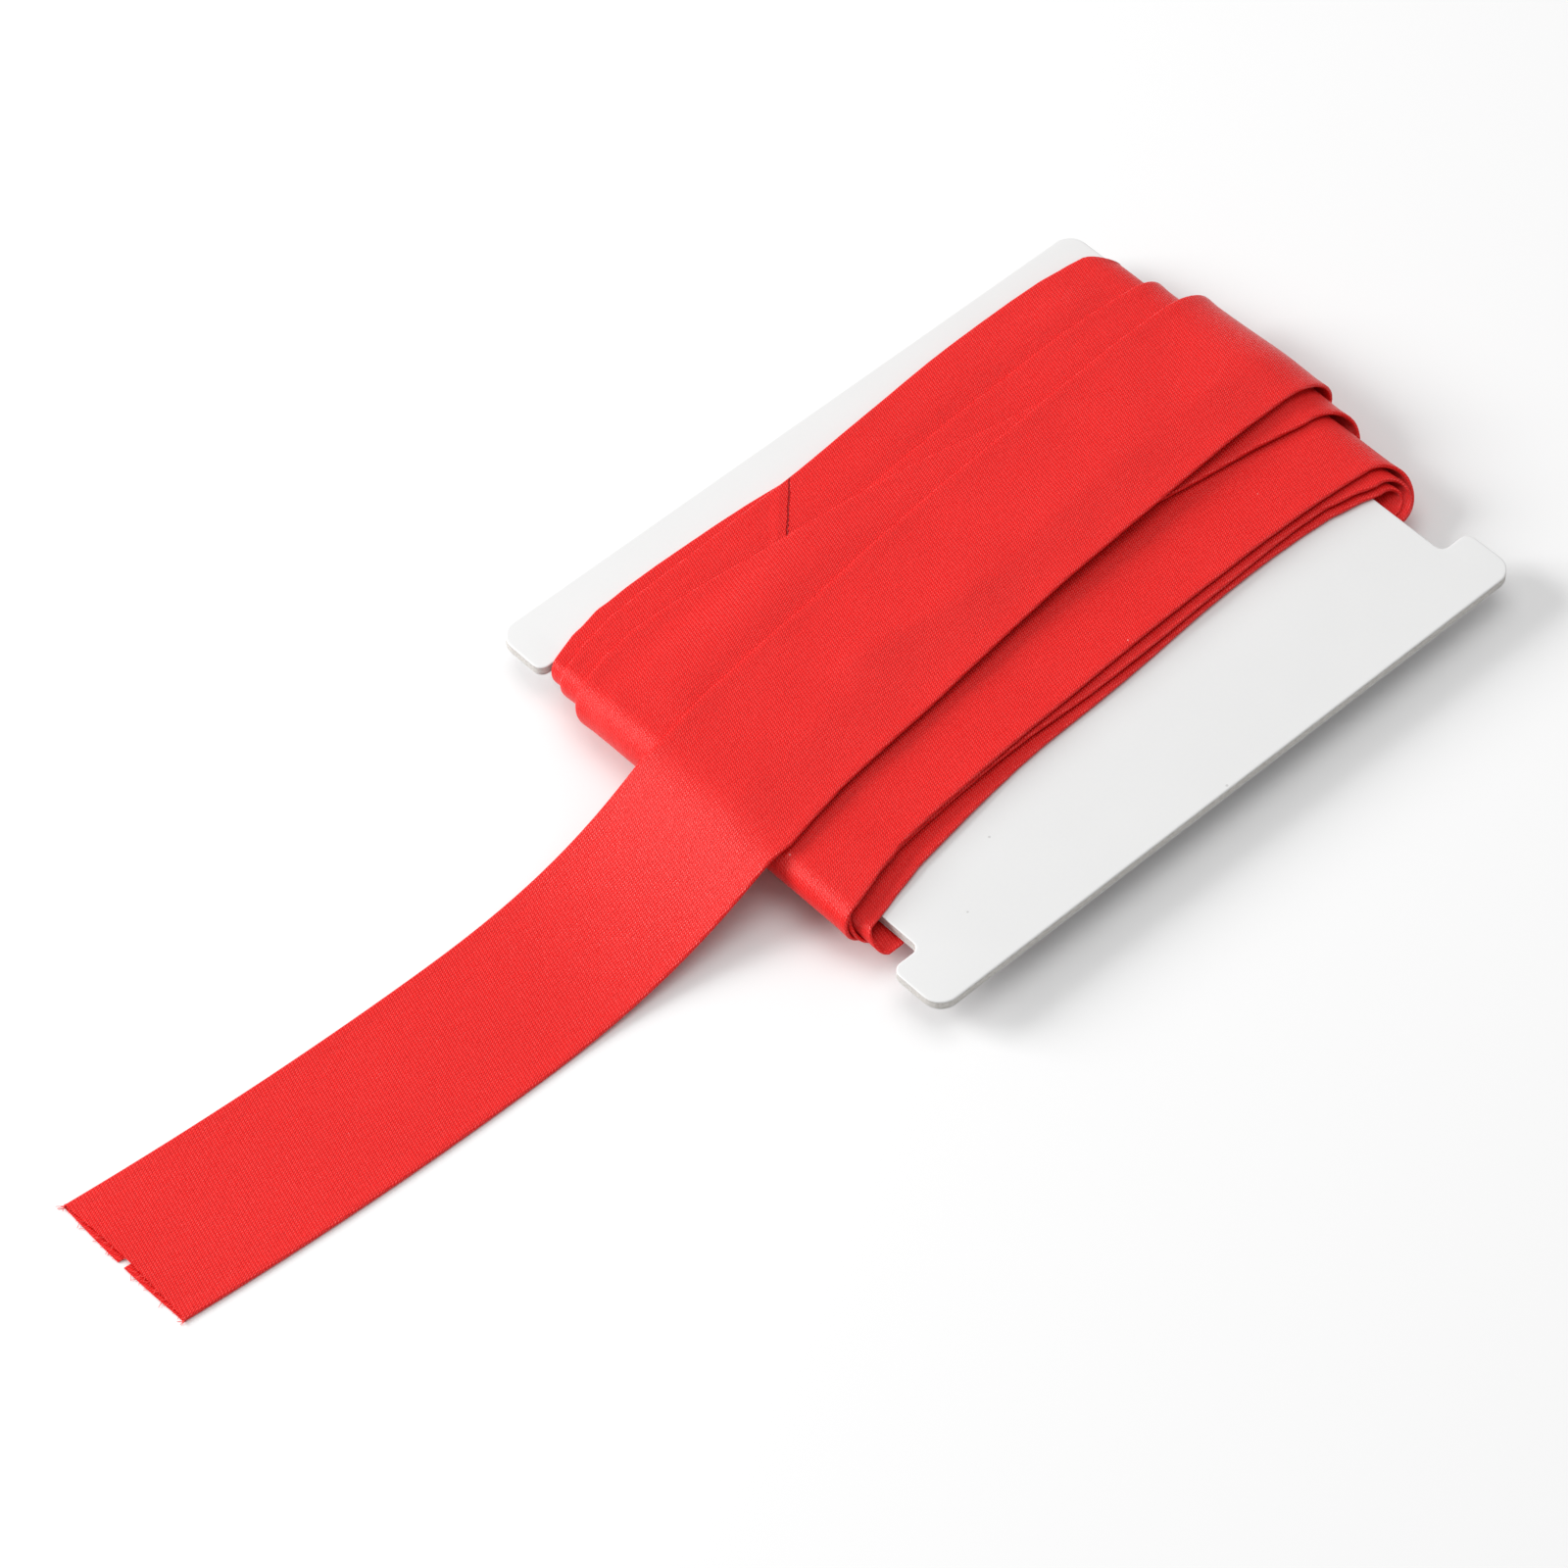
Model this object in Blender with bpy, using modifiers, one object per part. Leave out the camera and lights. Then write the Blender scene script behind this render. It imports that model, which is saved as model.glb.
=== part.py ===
"""Satin bias binding wound on a notched card.

A die-cut card holds eight turns of folded satin tape in its two end notches. The last turn
runs over the near edge as a loose tail, which drops to the table and can be lifted in two
places. Metres, +Z up, +X from the tail towards the card's far end, +Y across the card. The
origin is at the middle of the footprint, on the table.
"""

import math

import bpy
from mathutils import Vector

# ---- Card: a grey board between two white papers ----
CARD_LENGTH = 0.0910
CARD_WIDTH = 0.0720
CORE_THICKNESS = 0.00090
LINER_THICKNESS = 0.00015
LINER_GAP = 0.00010
NOTCH_DEPTH = 0.0042
EAR_WIDTH = 0.0075
EAR_OUTER_RADIUS = 0.0025
EAR_INNER_RADIUS = 0.0012
NOTCH_RADIUS = 0.0010
CORNER_STEPS = 6

# ---- Tape: a 40 mm bias strip with both edges folded under to the middle ----
TAPE_WIDTH = 0.0200
TAPE_THICKNESS = 0.00030
TURN_GAP = 0.00015
SIDE_GAP = 0.0003
PIECE_GAP = 0.0003

# ---- Winding ----
# Where each turn crosses the far end and then the near end, as shares of the tape's free
# room in the notches: 0 is against the -Y ears and 1 is against the +Y ears.
TURN_PLACES = (
    (0.31, 0.06),
    (0.31, 0.13),
    (0.35, 0.20),
    (1.00, 0.98),
    (1.00, 0.93),
    (0.84, 0.72),
    (0.58, 0.84),
    (0.70, 0.50),
)
START_PLACE = 0.10
# How far each turn's centre strays sideways on its way over the card, at these shares of the way
# from the far end to the near end, and how far it slips on its way round each end.
STRAY_SHARES = (0.0, 0.1, 0.3, 0.5, 0.7, 0.9, 1.0)
TURN_STRAYS = (
    (-0.0014, 0.0006, 0.0026, 0.0040, 0.0058, 0.0051, 0.0032),
    (-0.0006, 0.0015, 0.0025, 0.0036, 0.0056, 0.0055, 0.0036),
    (0.0000, 0.0008, 0.0019, 0.0028, 0.0034, 0.0029, 0.0007),
    (0.0020, 0.0026, 0.0021, 0.0019, 0.0031, 0.0030, 0.0006),
    (0.0027, 0.0039, 0.0041, 0.0033, 0.0030, 0.0026, 0.0003),
    (0.0008, 0.0015, 0.0019, 0.0020, 0.0018, 0.0010, 0.0002),
    (0.0011, 0.0024, 0.0030, 0.0035, 0.0027, 0.0026, 0.0003),
    (0.0005, 0.0006, 0.0009, 0.0018, 0.0020, 0.0015, 0.0000),
)
FAR_SLIPS = (-0.0035, -0.0045, -0.0060, 0.0, 0.0, -0.0010, -0.0045, -0.0020)
NEAR_SLIPS = (0.0, 0.0, -0.0015, 0.0, -0.0005, -0.0010, -0.0020, 0.0)
NEAR_SLACK = 0.0019
FAR_SLACK = 0.0034
BEND_STEPS = 12
PASS_STEPS = 20
UNDER_STEPS = 5

# ---- Tail ----
DROOP_ANGLE = math.radians(35.0)
DROOP_STEPS = 3
FALL_LENGTH = 0.0360
TAIL_LENGTH = 0.0400
TAIL_END_LENGTH = 0.0425
TAIL_SWAY = 0.0018
TAIL_DRIFT = 0.0013
TAIL_STEPS = 16
TAIL_END_STEPS = 6

# ---- Join between two lengths of tape, sewn across at 45 degrees ----
SEAM_TURN = 5
SEAM_COVER_TURN = 7
SEAM_X = -0.0066
SEAM_EDGE_INSET = 0.0006
SEAM_END_GAP = 0.0004
THREAD_RADIUS = 0.00010
THREAD_GAP = 0.00005

# ---- Places that follow from the sizes above ----
TURNS = len(TURN_PLACES)
PITCH = TAPE_THICKNESS + TURN_GAP
CARD_HALF = CORE_THICKNESS / 2 + LINER_GAP + LINER_THICKNESS
WAIST_HALF = CARD_LENGTH / 2 - NOTCH_DEPTH
FIRST_OFFSET = TURN_GAP + TAPE_THICKNESS / 2
NEAR_X = -(WAIST_HALF + NEAR_SLACK)
FAR_X = WAIST_HALF + FAR_SLACK
CARD_Z = CARD_HALF + FIRST_OFFSET + (TURNS - 1) * PITCH + TAPE_THICKNESS / 2
FREE_ROOM = CARD_WIDTH - 2 * EAR_WIDTH - TAPE_WIDTH - 2 * SIDE_GAP


def colour_material(name, colour, roughness):
    """A plain Principled finish."""
    material = bpy.data.materials.new(name)
    material.use_nodes = True
    shader = material.node_tree.nodes["Principled BSDF"]
    shader.inputs["Base Color"].default_value = (*colour, 1.0)
    shader.inputs["Roughness"].default_value = roughness
    shader.inputs["Metallic"].default_value = 0.0
    return material


def arc(centre_x, centre_y, radius, first, last):
    """Points along an arc, with its two angles in degrees."""
    angles = [math.radians(first + (last - first) * i / CORNER_STEPS) for i in range(CORNER_STEPS + 1)]
    return [(centre_x + radius * math.cos(a), centre_y + radius * math.sin(a)) for a in angles]


def card_outline():
    """The card's outline: a rectangle with a notch in each end between two rounded ears."""
    end, side = CARD_LENGTH / 2, CARD_WIDTH / 2
    ear = side - EAR_WIDTH
    quarter = arc(end - EAR_OUTER_RADIUS, side - EAR_OUTER_RADIUS, EAR_OUTER_RADIUS, 90, 0)
    quarter += arc(end - EAR_INNER_RADIUS, ear + EAR_INNER_RADIUS, EAR_INNER_RADIUS, 0, -90)
    quarter += arc(end - NOTCH_DEPTH + NOTCH_RADIUS, ear - NOTCH_RADIUS, NOTCH_RADIUS, 90, 180)
    outline = list(quarter)
    outline += [(x, -y) for x, y in reversed(quarter)]
    outline += [(-x, -y) for x, y in quarter]
    outline += [(-x, y) for x, y in reversed(quarter)]
    return outline


def card_layer(name, thickness, middle, material, collection):
    """One flat layer of the card, cut to the outline. middle is its height above the card's middle."""
    curve = bpy.data.curves.new(name, "CURVE")
    curve.dimensions = "2D"
    curve.fill_mode = "BOTH"
    curve.extrude = thickness / 2
    outline = card_outline()
    spline = curve.splines.new("POLY")
    spline.points.add(len(outline) - 1)
    for point, (x, y) in zip(spline.points, outline):
        point.co = (x, y, 0.0, 1.0)
    spline.use_cyclic_u = True
    curve.materials.append(material)
    layer = bpy.data.objects.new(name, curve)
    layer.location = (0.0, 0.0, CARD_Z + middle)
    collection.objects.link(layer)
    return layer


def tape_strip(name, centres, origin, material, collection):
    """A flat tape carried along its centre points, with its width along Y, as a solid of its own thickness."""
    half = Vector((0.0, TAPE_WIDTH / 2, 0.0))
    corners = [centre - origin + side for centre in centres for side in (-half, half)]
    faces = [(2 * i, 2 * i + 1, 2 * i + 3, 2 * i + 2) for i in range(len(centres) - 1)]
    mesh = bpy.data.meshes.new(name)
    mesh.from_pydata(corners, [], faces)
    mesh.materials.append(material)
    strip = bpy.data.objects.new(name, mesh)
    strip.location = origin
    collection.objects.link(strip)
    wall = strip.modifiers.new("thickness", "SOLIDIFY")
    wall.thickness = TAPE_THICKNESS
    wall.offset = 0.0
    wall.use_even_offset = True
    mesh.shade_smooth()
    mesh.set_sharp_from_angle(angle=math.radians(40.0))
    return strip


def place_across(share):
    """The Y of a tape's centre line, from its share of the free room in the notches."""
    return FREE_ROOM * (share - 0.5)


def ease(share):
    """A smooth step from 0 to 1."""
    return share * share * (3.0 - 2.0 * share)


def stray(strays, share):
    """A smooth curve through the sideways offsets of one turn."""
    last = len(STRAY_SHARES) - 1
    i = max(j for j in range(last) if STRAY_SHARES[j] <= share)

    def slope(j):
        before, after = max(j - 1, 0), min(j + 1, last)
        return (strays[after] - strays[before]) / (STRAY_SHARES[after] - STRAY_SHARES[before])

    gap = STRAY_SHARES[i + 1] - STRAY_SHARES[i]
    t = (share - STRAY_SHARES[i]) / gap
    ends = strays[i] * (1 + 2 * t) * (1 - t) ** 2 + strays[i + 1] * t * t * (3 - 2 * t)
    return ends + gap * (slope(i) * t * (1 - t) ** 2 + slope(i + 1) * t * t * (t - 1))


def centre_over(number, share):
    """The Y of a turn's centre line at a share of its way over the card."""
    far, near = (place_across(place) for place in TURN_PLACES[number - 1])
    return far + (near - far) * ease(share) + stray(TURN_STRAYS[number - 1], share)


def place_under(number, end):
    """The Y at which a turn passes under one end of the card: 0 is the far end and 1 the near end."""
    if number == 0:
        return place_across(START_PLACE)
    slips = (FAR_SLIPS, NEAR_SLIPS)[end]
    return place_across(TURN_PLACES[number - 1][end]) + slips[number - 1]


def over_points(number, height):
    """Centres of a turn's pass over the card, from the far end to the near end."""
    points = []
    for i in range(PASS_STEPS + 1):
        share = i / PASS_STEPS
        points.append(Vector((FAR_X + (NEAR_X - FAR_X) * share, centre_over(number, share), height)))
    return points


def under_points(y_near, y_far, height, first, last):
    """Centres along part of a pass under the card, between two shares of the way from near to far."""
    points = []
    for i in range(UNDER_STEPS + 1):
        share = first + (last - first) * i / UNDER_STEPS
        y = y_near + (y_far - y_near) * ease(share)
        points.append(Vector((NEAR_X + (FAR_X - NEAR_X) * share, y, height)))
    return points


def bend_points(centre_x, y_from, y_to, offset, growth, first, last, steps):
    """Centres round an end of the card, from one angle to another, while the winding grows outwards."""
    points = []
    for i in range(1, steps + 1):
        angle = first + (last - first) * i / steps
        radius = CARD_HALF + offset + growth * (angle - first) / math.pi
        y = y_from + (y_to - y_from) * ease(i / steps)
        points.append(Vector((centre_x + radius * math.cos(angle), y, CARD_Z + radius * math.sin(angle))))
    return points


def turn_points(number):
    """Centres of one turn: under the card to the far end, over the top, round the near end and back."""
    offset = FIRST_OFFSET + (number - 1) * PITCH
    growth = PITCH / 2
    right_angle = math.pi / 2
    cut = 0.5 * PIECE_GAP / (FAR_X - NEAR_X)
    low = CARD_Z - CARD_HALF - offset
    high = CARD_Z + CARD_HALF + offset + growth
    under_near, under_far = place_under(number - 1, 1), place_under(number, 0)
    over_far, over_near = centre_over(number, 0.0), centre_over(number, 1.0)
    points = under_points(under_near, under_far, low, 0.5 + cut, 1.0)
    points += bend_points(FAR_X, under_far, over_far, offset, growth, -right_angle, right_angle, BEND_STEPS)
    points += over_points(number, high)[1:]
    if number == TURNS:
        under_near, last_angle, steps = over_near, right_angle + DROOP_ANGLE, DROOP_STEPS
    else:
        under_near, last_angle, steps = place_under(number, 1), 3 * right_angle, BEND_STEPS
    outer = offset + growth
    points += bend_points(NEAR_X, over_near, under_near, outer, growth, right_angle, last_angle, steps)
    if number == TURNS:
        return points
    return points + under_points(under_near, place_under(number + 1, 0), low - PITCH, 0.0, 0.5 - cut)[1:]


def tail_route(start):
    """The tail's centre line as a function of the distance from where it leaves the winding.

    It falls from the drooping edge along a power curve that meets the table level, and sways sideways
    along a parabola.
    """
    rest = TAPE_THICKNESS / 2
    drop = start.z - rest
    power = math.tan(DROOP_ANGLE) * FALL_LENGTH / drop
    reach = TAIL_LENGTH + TAIL_END_LENGTH

    def at(distance):
        share = min(distance / FALL_LENGTH, 1.0)
        along = distance / reach
        sideways = TAIL_DRIFT * along - 4.0 * TAIL_SWAY * along * (1.0 - along)
        return Vector((start.x - distance, start.y + sideways, rest + drop * (1.0 - share) ** power))

    return at


def tail_points(route, first, last, steps):
    """Centres along the tail between two distances."""
    return [route(first + (last - first) * i / steps) for i in range(steps + 1)]


def hinge_empty(name, location, parent, collection):
    """An empty on a joint's axis, which carries the moving piece."""
    empty = bpy.data.objects.new(name, None)
    empty.empty_display_size = TAPE_WIDTH / 4
    empty.location = location
    empty.parent = parent
    collection.objects.link(empty)
    return empty


def top_edge(number, x):
    """The Y of a turn's +Y edge where its pass over the card crosses a given X."""
    return centre_over(number, (FAR_X - x) / (FAR_X - NEAR_X)) + TAPE_WIDTH / 2


def seam_thread(material, collection):
    """The sewing thread of the join: at 45 degrees, from its turn's edge to the edge of the turn over it."""
    edge = top_edge(SEAM_TURN, SEAM_X) - SEAM_EDGE_INSET
    span = 0.0
    for _ in range(4):
        span = edge - top_edge(SEAM_COVER_TURN, SEAM_X - span) - SEAM_END_GAP
    offset = FIRST_OFFSET + (SEAM_TURN - 1) * PITCH + PITCH / 2
    height = CARD_Z + CARD_HALF + offset + TAPE_THICKNESS / 2 + THREAD_GAP + THREAD_RADIUS
    curve = bpy.data.curves.new("join_seam_thread", "CURVE")
    curve.dimensions = "3D"
    curve.bevel_depth = THREAD_RADIUS
    curve.bevel_resolution = 2
    curve.use_fill_caps = True
    spline = curve.splines.new("POLY")
    spline.points.add(1)
    spline.points[0].co = (SEAM_X, edge, height, 1.0)
    spline.points[1].co = (SEAM_X - span, edge - span, height, 1.0)
    curve.materials.append(material)
    thread = bpy.data.objects.new("join_seam_thread", curve)
    collection.objects.link(thread)
    return thread


def build():
    for leftover in list(bpy.data.objects):
        bpy.data.objects.remove(leftover)
    collection = bpy.data.collections.new("bias_binding_on_card")
    bpy.context.scene.collection.children.link(collection)

    satin = colour_material("red_satin", (0.80, 0.028, 0.026), 0.42)
    board = colour_material("grey_board", (0.36, 0.34, 0.32), 0.95)
    paper = colour_material("white_paper", (0.82, 0.83, 0.83), 0.55)
    cotton = colour_material("dark_red_thread", (0.32, 0.010, 0.012), 0.70)

    # The frame's middle is halfway from the tail's cut end to the outermost far bend.
    last_turn = turn_points(TURNS)
    leave = last_turn[-1]
    far_reach = FAR_X + CARD_HALF + FIRST_OFFSET + (TURNS - 0.75) * PITCH + TAPE_THICKNESS / 2
    tail_direction = Vector((-math.cos(DROOP_ANGLE), 0.0, -math.sin(DROOP_ANGLE)))
    tail_start = leave + tail_direction * PIECE_GAP
    cut_end = tail_start.x - TAIL_LENGTH - TAIL_END_LENGTH
    frame = hinge_empty("frame", (-(far_reach + cut_end) / 2, 0.0, 0.0), None, collection)
    no_offset = Vector((0.0, 0.0, 0.0))

    liner_height = CORE_THICKNESS / 2 + LINER_GAP + LINER_THICKNESS / 2
    fixed = [
        card_layer("card_core", CORE_THICKNESS, 0.0, board, collection),
        card_layer("card_top_liner", LINER_THICKNESS, liner_height, paper, collection),
        card_layer("card_back_liner", LINER_THICKNESS, -liner_height, paper, collection),
        seam_thread(cotton, collection),
    ]
    for number in range(1, TURNS + 1):
        fixed.append(tape_strip(f"tape_turn_{number}", turn_points(number), no_offset, satin, collection))
    for piece in fixed:
        piece.parent = frame

    # Each lifting joint lies across the tape, on its upper face, in the middle of the gap.
    outwards = Vector((-math.sin(DROOP_ANGLE), 0.0, math.cos(DROOP_ANGLE)))
    lift_axis = leave + tail_direction * (PIECE_GAP / 2) + outwards * (TAPE_THICKNESS / 2)
    lift = hinge_empty("tail_lift_axis", lift_axis, frame, collection)
    route = tail_route(tail_start)
    points = tail_points(route, 0.0, TAIL_LENGTH - PIECE_GAP / 2, TAIL_STEPS)
    tail = tape_strip("tail", points, lift_axis, satin, collection)
    tail.location = no_offset
    tail.parent = lift

    end_axis = route(TAIL_LENGTH) + Vector((0.0, 0.0, TAPE_THICKNESS / 2))
    end_lift = hinge_empty("tail_end_lift_axis", end_axis - lift_axis, lift, collection)
    end_points = tail_points(route, TAIL_LENGTH + PIECE_GAP / 2, TAIL_LENGTH + TAIL_END_LENGTH, TAIL_END_STEPS)
    tail_end = tape_strip("tail_end", end_points, end_axis, satin, collection)
    tail_end.location = no_offset
    tail_end.parent = end_lift


build()
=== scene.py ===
"""Folded red satin bias binding wound on a notched white card, with its loose end on the table."""
import math

import bpy
import numpy as np
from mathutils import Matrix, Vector


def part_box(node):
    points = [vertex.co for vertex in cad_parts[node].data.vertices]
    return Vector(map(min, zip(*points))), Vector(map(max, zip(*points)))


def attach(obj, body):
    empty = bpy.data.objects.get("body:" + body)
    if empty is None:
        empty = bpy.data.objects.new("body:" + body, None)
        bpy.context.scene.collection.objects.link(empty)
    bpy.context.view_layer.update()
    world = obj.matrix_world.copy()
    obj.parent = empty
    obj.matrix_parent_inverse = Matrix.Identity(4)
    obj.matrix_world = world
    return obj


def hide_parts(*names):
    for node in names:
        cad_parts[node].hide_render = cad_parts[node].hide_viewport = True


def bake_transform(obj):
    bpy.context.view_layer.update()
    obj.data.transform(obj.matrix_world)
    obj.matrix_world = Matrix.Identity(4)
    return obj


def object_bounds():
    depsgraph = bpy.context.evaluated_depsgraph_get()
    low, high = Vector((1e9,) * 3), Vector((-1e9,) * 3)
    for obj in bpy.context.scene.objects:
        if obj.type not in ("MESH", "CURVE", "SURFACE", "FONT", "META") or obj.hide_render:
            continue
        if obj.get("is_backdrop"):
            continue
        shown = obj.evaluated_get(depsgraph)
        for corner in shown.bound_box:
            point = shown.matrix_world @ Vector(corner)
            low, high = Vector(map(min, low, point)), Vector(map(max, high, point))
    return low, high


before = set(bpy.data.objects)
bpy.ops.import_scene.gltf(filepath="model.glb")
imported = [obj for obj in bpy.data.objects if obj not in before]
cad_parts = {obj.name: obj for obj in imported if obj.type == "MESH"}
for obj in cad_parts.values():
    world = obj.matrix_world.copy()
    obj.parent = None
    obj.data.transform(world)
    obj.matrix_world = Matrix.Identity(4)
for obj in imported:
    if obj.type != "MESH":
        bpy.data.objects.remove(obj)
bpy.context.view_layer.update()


# ---- Card core ----
# The core is grey board about a millimetre thick, pressed from waste paper. A steel rule die
# cuts it to an H outline, which leaves a dry, fibrous edge. A film of glue holds it to its papers.

core_low, core_high = (np.array(corner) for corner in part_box("card_core"))
top_low, top_high = (np.array(corner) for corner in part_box("card_top_liner"))
back_low, back_high = (np.array(corner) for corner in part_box("card_back_liner"))
card_middle = (core_low + core_high) / 2
glue_line = 0.00001
ear_width, ear_radius, tip_radius = 0.0075, 0.0025, 0.0012
notch_depth, notch_radius = 0.0042, 0.0010
board_raggedness = 0.000018
# The cut edge from its bottom to its top, as (share of the height, inset) pairs.
board_edge = (
    (0.0, 0.00012), (0.06, 0.00002), (0.3, 0.00006), (0.55, 0.0),
    (0.8, 0.00007), (0.94, 0.00002), (1.0, 0.0001),
)
board_colour = (0.62, 0.60, 0.57, 1.0)
board_dark = (0.40, 0.37, 0.34, 1.0)
board_fleck = (0.80, 0.78, 0.76, 1.0)


class Value:
    """A node socket in a material. Sums on it add Math nodes, and node() adds any other node."""

    def __init__(self, tree, socket=None):
        self.tree, self.socket = tree, socket

    def node(self, kind, settings=None, sockets=None, output=0):
        """Adds a node: its settings first, then the values or links of its sockets."""
        made = self.tree.nodes.new(kind)
        for name, value in (settings or {}).items():
            if name == "stops":
                while len(made.color_ramp.elements) < len(value):
                    made.color_ramp.elements.new(0.5)
                for element, (place, colour) in zip(made.color_ramp.elements, value):
                    element.position, element.color = place, colour
            else:
                setattr(made, name, value)
        for name, value in (sockets or {}).items():
            if isinstance(value, Value):
                self.tree.links.new(value.socket, made.inputs[name])
            else:
                made.inputs[name].default_value = value
        return Value(self.tree, made.outputs[output]) if len(made.outputs) else None

    def math(self, operation, *values):
        return self.node("ShaderNodeMath", {"operation": operation}, dict(enumerate(values)))

    def __add__(self, other):
        return self.math("ADD", self, other)

    def __sub__(self, other):
        return self.math("SUBTRACT", self, other)

    def __rsub__(self, other):
        return self.math("SUBTRACT", other, self)

    def __mul__(self, other):
        return self.math("MULTIPLY", self, other)

    def __truediv__(self, other):
        return self.math("DIVIDE", self, other)

    __radd__, __rmul__ = __add__, __mul__

    def mix(self, share, first, second):
        """A colour between two colours."""
        colours = {0: share, 6: first, 7: second}
        return self.node("ShaderNodeMix", {"data_type": "RGBA"}, colours, 2)

    def noise(self, place, scale, detail=2.0, roughness=0.5):
        look = {"Vector": place, "Scale": scale, "Detail": detail, "Roughness": roughness}
        return self.node("ShaderNodeTexNoise", {}, look)

    def ramp(self, share, *stops):
        """A colour ramp of (place, colour) stops, read at a share."""
        return self.node("ShaderNodeValToRGB", {"stops": stops}, {"Fac": share})

    def place(self):
        """Object coordinates, in metres from the world's origin."""
        return self.node("ShaderNodeTexCoord", output="Object")

    def bump(self, strength, distance, height):
        look = {"Strength": strength, "Distance": distance, "Height": height}
        return self.node("ShaderNodeBump", {}, look)


def start_finish(name):
    """A new material and the Value that its nodes are added through."""
    material = bpy.data.materials.new(name)
    material.use_nodes = True
    material.node_tree.nodes.clear()
    return material, Value(material.node_tree)


def end_finish(finish, sockets):
    """Joins a Principled shader with these sockets to the material's output."""
    shader = finish.node("ShaderNodeBsdfPrincipled", {}, sockets)
    finish.node("ShaderNodeOutputMaterial", {}, {"Surface": shader})


def put_mesh(name, points, faces, material, uv=None, sharp=50.0):
    """A mesh object at the origin from an (n, 3) array of points and their faces.

    Edges that turn by more than the sharp angle, in degrees, stay hard.
    """
    mesh = bpy.data.meshes.new(name)
    mesh.from_pydata(points.tolist(), [], faces if isinstance(faces, list) else faces.tolist())
    mesh.materials.append(material)
    mesh.shade_smooth()
    mesh.set_sharp_from_angle(angle=math.radians(sharp))
    if uv is not None:
        corner = np.zeros(len(mesh.loops), np.int32)
        mesh.loops.foreach_get("vertex_index", corner)
        mesh.uv_layers.new(name="tape").data.foreach_set("uv", uv[corner].astype(np.float32).ravel())
    piece = bpy.data.objects.new(name, mesh)
    bpy.context.scene.collection.objects.link(piece)
    return piece


def ring_faces(rings, around):
    """Faces between closed rings of points: each joins a point and the next to the same two a ring on."""
    ring, place = np.meshgrid(np.arange(rings - 1), np.arange(around), indexing="ij")
    after = (place + 1) % around
    here, beyond = ring * around, (ring + 1) * around
    return np.stack([here + place, here + after, beyond + after, beyond + place], -1).reshape(-1, 4)


def card_outline(low, high, step=0.0004):
    """Points round the card, clockwise and evenly spaced, with the outward direction at each.

    One quarter is three arcs: the ear's outer corner, its inner corner, and the notch's inside corner.
    Mirrored copies make the whole, which is then read off at equal steps of its length.
    """
    end, side = (high - low)[:2] / 2
    ear = side - ear_width
    turn = np.radians(np.linspace(90, 0, 9))
    arcs = [
        (end - ear_radius, side - ear_radius, ear_radius, turn),
        (end - tip_radius, ear + tip_radius, tip_radius, turn - math.pi / 2),
        (end - notch_depth + notch_radius, ear - notch_radius, notch_radius, turn[::-1] + math.pi / 2),
    ]
    quarter = np.concatenate([np.stack([x + r * np.cos(a), y + r * np.sin(a)], 1) for x, y, r, a in arcs])
    half = np.concatenate([quarter, quarter[::-1] * (1, -1)])
    loop = np.concatenate([half, half[::-1] * (-1, 1)])
    loop = np.concatenate([loop, loop[:1]])
    length = np.concatenate([[0], np.cumsum(np.linalg.norm(np.diff(loop, axis=0), axis=1))])
    at = np.linspace(0, length[-1], int(length[-1] / step), endpoint=False)
    places = np.stack([np.interp(at, length, loop[:, i]) for i in (0, 1)], 1)
    along = np.roll(places, -1, 0) - np.roll(places, 1, 0)
    outward = np.stack([-along[:, 1], along[:, 0]], 1) / np.linalg.norm(along, axis=1)[:, None]
    middle = ((low + high) / 2)[:2]
    return places + middle, outward


def cut_layer(name, node, bottom, top, profile, material, ragged, seed):
    """A die-cut layer: its outline carried up a profile of (share of the height, inset) pairs.

    Every point is moved in by its inset and by a little chance, and a flat face closes each end.
    """
    places, outward = card_outline(*(np.array(corner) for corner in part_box(node)))
    share, inset = np.array(profile).T
    around, rings = len(places), len(share)
    wander = np.random.default_rng(seed).normal(0, 1, (rings, around))
    wander = (wander + np.roll(wander, 1, 1) + np.roll(wander, -1, 1)) / 3
    depth = inset[:, None] + ragged * wander
    flat = places[None] - outward[None] * depth[..., None]
    height = np.broadcast_to((bottom + (top - bottom) * share)[:, None, None], depth.shape + (1,))
    points = np.concatenate([flat, height], 2).reshape(-1, 3)
    faces = ring_faces(rings, around)[:, ::-1].tolist()
    faces.append(list(range(around)))
    faces.append(list(range((rings - 1) * around, rings * around))[::-1])
    return put_mesh(name, points, faces, material)


board, finish = start_finish("grey_board")
place = finish.place()
grain = finish.node("ShaderNodeMapping", {}, {"Vector": place, "Scale": (1.0, 1.0, 3.5)})
fibre = finish.noise(grain, 2600.0, 4.0, 0.7)
pulp = finish.noise(place, 700.0, 3.0, 0.6)
strands = finish.ramp(fibre, (0.36, (0, 0, 0, 1)), (0.68, (1, 1, 1, 1)))
shade = finish.mix(strands, board_dark, board_fleck)
shade = finish.mix(0.55 * pulp + 0.2, shade, board_colour)
bump = finish.bump(0.8, 0.00006, fibre + 0.6 * pulp)
end_finish(finish, {
    "Base Color": shade, "Roughness": 0.9 + 0.08 * pulp, "Normal": bump, "Specular IOR Level": 0.2,
})

board_core = cut_layer(
    "board_core", "card_core", back_high[2] + glue_line, top_low[2] - glue_line,
    board_edge, board, board_raggedness, seed=3,
)
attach(board_core, "winding")
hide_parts("card_core")


# ---- Card papers ----
# A white coated paper is glued over each face of the board before the card is cut. The rule
# die presses its rim down a little, and the face keeps faint dents and lint from handling.

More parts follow.
